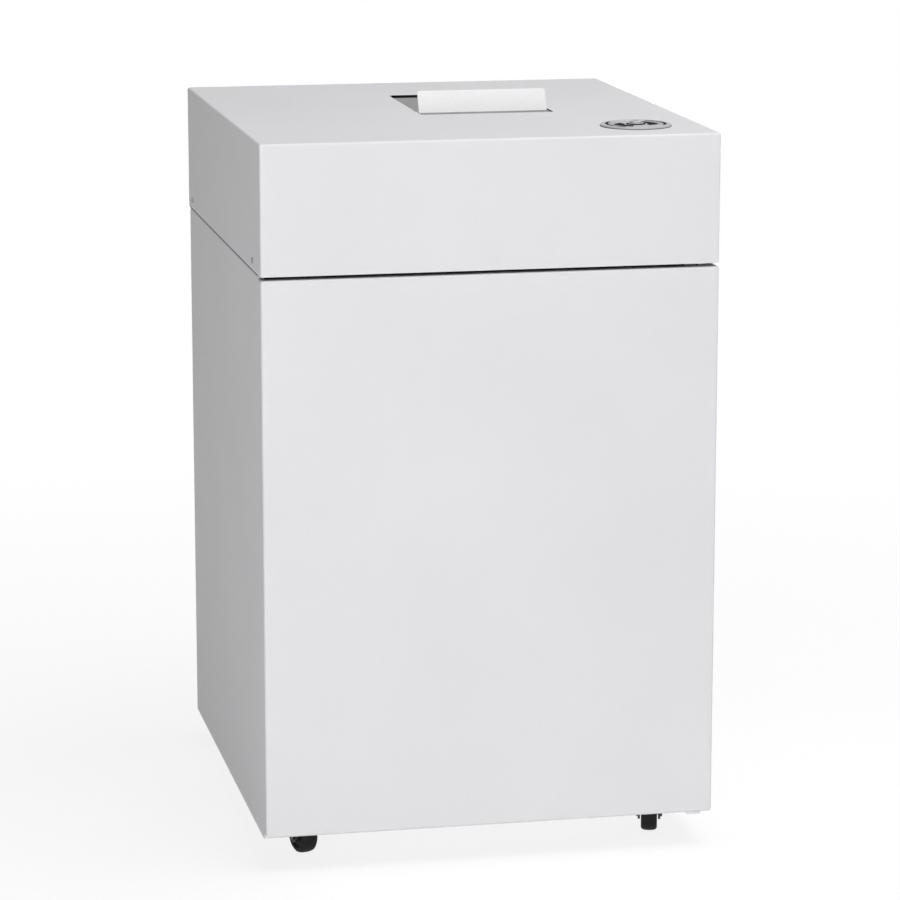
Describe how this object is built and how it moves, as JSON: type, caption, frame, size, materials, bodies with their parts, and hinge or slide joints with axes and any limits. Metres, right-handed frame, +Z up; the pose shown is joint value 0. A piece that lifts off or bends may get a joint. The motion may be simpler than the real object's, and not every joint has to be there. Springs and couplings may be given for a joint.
{
  "type": "solid state media shredder",
  "caption": "Floor-standing sheet-metal shredder for solid state media, with a hinged feed lid, round control dial, full front door, geared hooked cutters and swivel casters.",
  "frame": {"origin": "on the floor under the middle of the cabinet's box", "axes": "+X to the right seen from the front, +Y to the back, +Z up"},
  "size_m": [0.4832, 0.534, 0.7873],
  "materials": {
    "cabinet_paint": "fine textured powder coat, light grey, satin",
    "galvanised_sheet": "galvanised, dull",
    "lid_paint": "mid grey powder coat, satin",
    "grip_satin": "near white, smooth satin",
    "dial_silver": "satin turned aluminium with black marks",
    "bright_steel": "machined, bright",
    "tool_steel": "hardened, ground",
    "plate_steel": "hot rolled, oiled",
    "motor_paint": "dark enamel",
    "bin_plastic": "moulded, fine grain",
    "black_plastic": "moulded, matte",
    "box_plastic": "moulded, matte grey",
    "caster_black": "moulded, matte black",
    "caster_tread": "black rubber tread",
    "axle_steel": "zinc plated"
  },
  "bodies": {
    "cabinet": {"hood": "cabinet_paint", "side_panel_left": "cabinet_paint", "side_panel_right": "cabinet_paint", "back_panel": "cabinet_paint", "base_plate": "galvanised_sheet", "mechanism_deck": "galvanised_sheet", "front_crossbar": "galvanised_sheet", "upper_hinge_bracket": "galvanised_sheet", "lower_hinge_bracket": "galvanised_sheet", "feed_chute": "galvanised_sheet", "motor_mount": "galvanised_sheet", "caster_plates": "galvanised_sheet", "dial_bezel": "dial_silver", "hood_screws": "bright_steel", "hinge_pins": "bright_steel", "lid_hinge_pin": "bright_steel", "tie_rods": "bright_steel", "cutter_bearings": "bright_steel", "front_comb": "tool_steel", "rear_comb": "tool_steel", "bearing_plate_left": "plate_steel", "bearing_plate_right": "plate_steel", "drive_motor": "motor_paint", "waste_bin": "bin_plastic", "power_inlet": "black_plastic", "switch_base": "black_plastic", "door_catch": "black_plastic", "door_switch": "black_plastic", "control_box": "box_plastic"},
    "door": {"door": "cabinet_paint", "door_strike": "galvanised_sheet", "door_magnet": "black_plastic"},
    "feed_lid": {"feed_lid": "lid_paint", "lid_grip": "grip_satin"},
    "control_ring": {"control_ring": "dial_silver"},
    "start_button": {"start_button": "dial_silver"},
    "front_cutter": {"front_cutter_shaft": "bright_steel", "front_cutter_discs": "tool_steel", "front_spacers": "tool_steel", "sync_gear_front": "tool_steel", "drive_gear": "tool_steel"},
    "rear_cutter": {"rear_cutter_shaft": "bright_steel", "rear_cutter_discs": "tool_steel", "rear_spacers": "tool_steel", "sync_gear_rear": "tool_steel"},
    "motor_drive": {"motor_pinion": "tool_steel"},
    "caster_front_left": {"caster_fork_front_left": "caster_black", "caster_axle_front_left": "axle_steel"},
    "wheel_front_left": {"caster_wheel_front_left": "caster_tread"},
    "caster_front_right": {"caster_fork_front_right": "caster_black", "caster_axle_front_right": "axle_steel"},
    "wheel_front_right": {"caster_wheel_front_right": "caster_tread"},
    "caster_rear_left": {"caster_fork_rear_left": "caster_black", "caster_axle_rear_left": "axle_steel"},
    "wheel_rear_left": {"caster_wheel_rear_left": "caster_tread"},
    "caster_rear_right": {"caster_fork_rear_right": "caster_black", "caster_axle_rear_right": "axle_steel"},
    "wheel_rear_right": {"caster_wheel_rear_right": "caster_tread"}
  },
  "joints": [
    {"name": "door_hinge", "type": "hinge", "parent": "cabinet", "child": "door", "pos_m": [0.222, -0.256, 0.3325], "axis": [0, 0, 1], "range_deg": [0, 110]},
    {"name": "lid_hinge", "type": "hinge", "parent": "cabinet", "child": "feed_lid", "pos_m": [0.0415, 0.13, 0.7594], "axis": [-1, 0, 0], "range_deg": [0, 100]},
    {"name": "control_turn", "type": "hinge", "parent": "cabinet", "child": "control_ring", "pos_m": [0.169, -0.19, 0.765], "axis": [0, 0, 1], "range_deg": [-30, 30], "stiffness_Nm_per_rad": 0.05},
    {"name": "start_press", "type": "slide", "parent": "control_ring", "child": "start_button", "axis": [0, 0, -1], "range_m": [0, 0.002], "stiffness_N_per_m": 400, "springref_m": -0.001},
    {"name": "front_cutter_spin", "type": "hinge", "parent": "cabinet", "child": "front_cutter", "pos_m": [0.0415, 0.0115, 0.56], "axis": [1, 0, 0], "continuous": true},
    {"name": "rear_cutter_spin", "type": "hinge", "parent": "cabinet", "child": "rear_cutter", "pos_m": [0.0415, 0.0755, 0.56], "axis": [1, 0, 0], "continuous": true},
    {"name": "motor_spin", "type": "hinge", "parent": "cabinet", "child": "motor_drive", "pos_m": [-0.05, -0.0685, 0.56], "axis": [1, 0, 0], "continuous": true},
    {"name": "front_left_swivel", "type": "hinge", "parent": "cabinet", "child": "caster_front_left", "pos_m": [-0.186, -0.212, 0.046], "axis": [0, 0, 1], "continuous": true},
    {"name": "front_left_roll", "type": "hinge", "parent": "caster_front_left", "child": "wheel_front_left", "pos_m": [-0.19009, -0.19861, 0.02], "axis": [0.9563, 0.2924, 0], "continuous": true},
    {"name": "front_right_swivel", "type": "hinge", "parent": "cabinet", "child": "caster_front_right", "pos_m": [0.186, -0.212, 0.046], "axis": [0, 0, 1], "continuous": true},
    {"name": "front_right_roll", "type": "hinge", "parent": "caster_front_right", "child": "wheel_front_right", "pos_m": [0.18962, -0.19848, 0.02], "axis": [0.9659, -0.2588, 0], "continuous": true},
    {"name": "rear_left_swivel", "type": "hinge", "parent": "cabinet", "child": "caster_rear_left", "pos_m": [-0.186, 0.212, 0.046], "axis": [0, 0, 1], "continuous": true},
    {"name": "rear_left_roll", "type": "hinge", "parent": "caster_rear_left", "child": "wheel_rear_left", "pos_m": [-0.18381, 0.22583, 0.02], "axis": [0.9877, -0.1564, 0], "continuous": true},
    {"name": "rear_right_swivel", "type": "hinge", "parent": "cabinet", "child": "caster_rear_right", "pos_m": [0.186, 0.212, 0.046], "axis": [0, 0, 1], "continuous": true},
    {"name": "rear_right_roll", "type": "hinge", "parent": "caster_rear_right", "child": "wheel_rear_right", "pos_m": [0.18309, 0.22569, 0.02], "axis": [0.9781, 0.2079, 0], "continuous": true}
  ],
  "couplings": [
    {"joint": "rear_cutter_spin", "follows": "front_cutter_spin", "ratio": -1},
    {"joint": "motor_spin", "follows": "front_cutter_spin", "ratio": -3}
  ]
}
